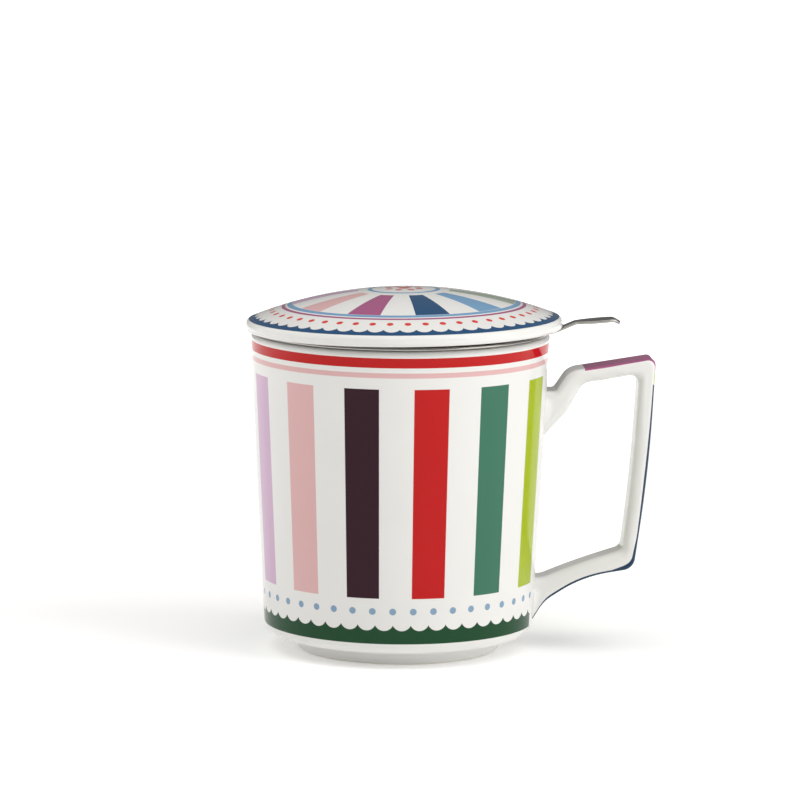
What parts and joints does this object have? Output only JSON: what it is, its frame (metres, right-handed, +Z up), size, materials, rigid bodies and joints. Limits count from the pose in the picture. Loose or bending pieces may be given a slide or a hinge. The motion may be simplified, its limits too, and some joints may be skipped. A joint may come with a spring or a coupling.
{
  "type": "infusion cup",
  "caption": "Porcelain tea mug with a strap handle, a loose domed lid, and a perforated steel infuser with a finger tab that hangs by its flange in the mouth.",
  "frame": {"origin": "centre of the foot ring, on the surface that the cup stands on", "axes": "+Z up along the cup's axis, +X towards the handle"},
  "size_m": [0.116, 0.0897, 0.1028],
  "materials": {
    "porcelain": "glossy clear glaze over white porcelain",
    "steel": "polished stainless sheet"
  },
  "bodies": {
    "cup": {"cup_body": "porcelain", "cup_handle": "porcelain"},
    "infuser": {"infuser_rim": "steel", "infuser_wall": "steel", "infuser_base": "steel", "infuser_hoop": "steel", "infuser_tab": "steel"},
    "lid": {"lid": "porcelain"}
  },
  "joints": [
    {"name": "infuser_lift", "type": "slide", "parent": "cup", "child": "infuser", "axis": [0, 0, 1], "range_m": [0, 0.08]},
    {"name": "lid_lift", "type": "slide", "parent": "infuser", "child": "lid", "axis": [0, 0, 1], "range_m": [0, 0.06]}
  ]
}
